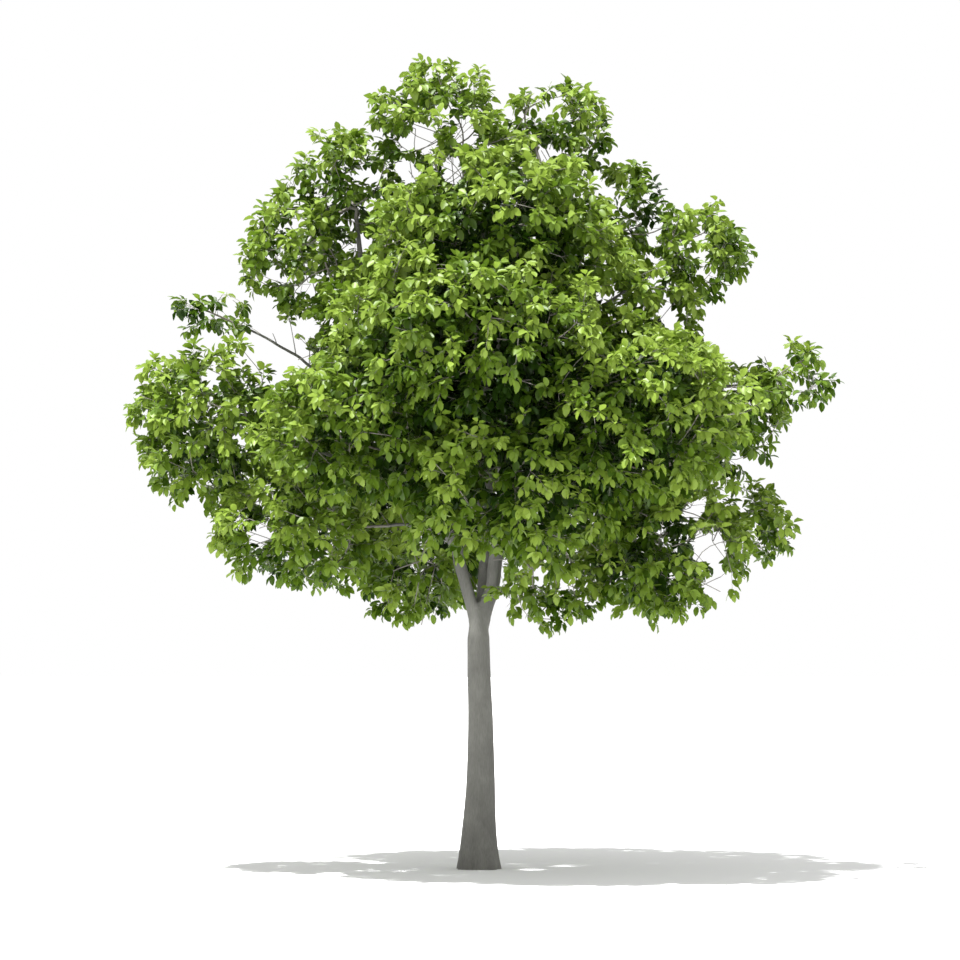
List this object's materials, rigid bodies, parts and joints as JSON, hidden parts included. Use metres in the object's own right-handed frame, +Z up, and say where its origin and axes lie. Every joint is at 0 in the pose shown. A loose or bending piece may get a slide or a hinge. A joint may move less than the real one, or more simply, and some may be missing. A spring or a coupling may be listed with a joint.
{
  "type": "broadleaf tree",
  "caption": "Broadleaf tree with a smooth grey trunk that forks low into rising leaders, spreading boughs and a wide lobed crown of green leaves, fixed in the ground at its flat cut foot.",
  "frame": {"origin": "centre of the flat cut under the trunk, at ground level", "axes": "+Z up along the trunk, -Y towards the front of the crown, +X to the right as the front is looked at"},
  "size_m": [5.3216, 4.7218, 6.0033],
  "materials": {
    "bark": "smooth grey bark with a fine upright grain",
    "foliage": "satin green leaves on grey twigs"
  },
  "bodies": {
    "root": {"trunk": "bark", "leader_right": "bark", "leader_left": "bark", "leader_rear": "bark", "bough_low_left": "bark", "bough_left_reach": "bark", "bough_left_arm": "bark", "bough_left_shoulder": "bark", "bough_left_middle": "bark", "bough_top_left": "bark", "bough_right_crown": "bark", "bough_right_shoulder": "bark", "bough_right_middle": "bark", "bough_right_arm": "bark", "bough_right_lobe": "bark", "bough_right_reach": "bark", "bough_low_right": "bark", "bough_left_skirt": "bark", "bough_right_skirt": "bark", "bough_front_low": "bark", "bough_front_left": "bark", "bough_front_right": "bark", "bough_front_mid": "bark", "bough_front_high": "bark", "bough_front_crown": "bark", "bough_back_low": "bark", "bough_back_left": "bark", "bough_back_right": "bark", "bough_back_mid": "bark", "bough_back_crown": "bark", "low_left": "foliage", "left_reach": "foliage", "left_arm": "foliage", "left_shoulder": "foliage", "left_crown": "foliage", "left_middle": "foliage", "top_left": "foliage", "top_right": "foliage", "right_crown": "foliage", "right_shoulder": "foliage", "right_middle": "foliage", "right_arm": "foliage", "right_lobe": "foliage", "right_reach": "foliage", "low_right": "foliage", "left_skirt": "foliage", "right_skirt": "foliage", "front_low": "foliage", "front_left": "foliage", "front_right": "foliage", "front_mid": "foliage", "front_high": "foliage", "front_crown": "foliage", "back_low": "foliage", "back_left": "foliage", "back_right": "foliage", "back_mid": "foliage", "back_high": "foliage", "back_crown": "foliage"}
  },
  "joints": []
}
